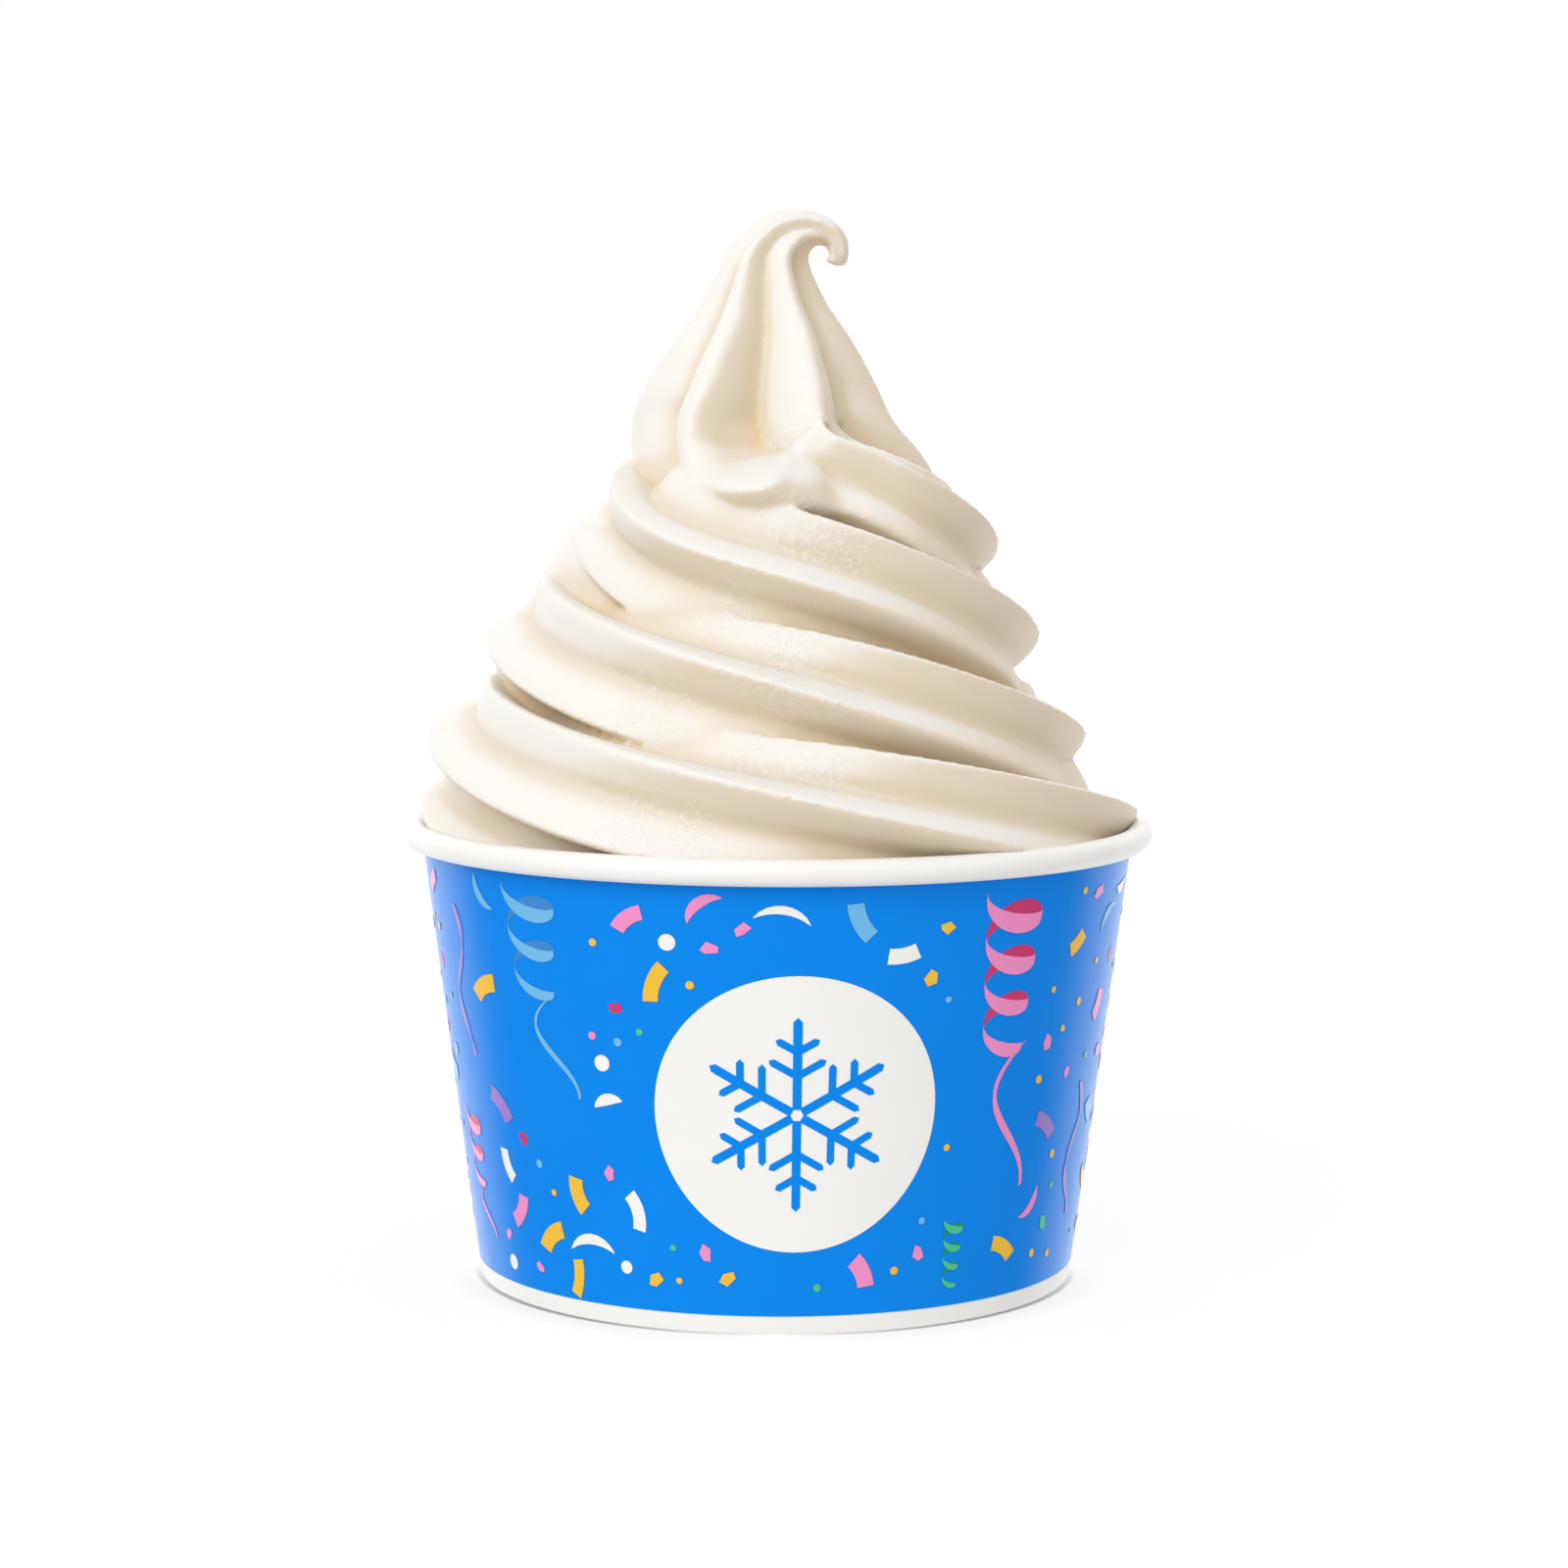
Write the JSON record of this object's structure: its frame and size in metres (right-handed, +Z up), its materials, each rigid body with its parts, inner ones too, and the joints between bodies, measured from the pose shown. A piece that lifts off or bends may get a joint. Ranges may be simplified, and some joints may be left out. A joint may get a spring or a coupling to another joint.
{
  "type": "frozen yogurt cup",
  "caption": "Tall soft-serve swirl of vanilla frozen yogurt with a curled peak, heaped over the rolled rim of a tapered printed paper cup.",
  "frame": {"origin": "centre of the cup's foot, on the surface it stands on", "axes": "+Z up the cup's axis, front towards -Y, with the curl of the peak towards +X"},
  "size_m": [0.112, 0.112, 0.1586],
  "materials": {
    "printed_paper": "coated, semi-gloss",
    "plain_paper": "coated, satin",
    "frozen_yogurt": "soft satin, faintly icy"
  },
  "bodies": {
    "root": {"cup_wall": "printed_paper", "cup_base": "plain_paper", "froyo": "frozen_yogurt"}
  },
  "joints": []
}
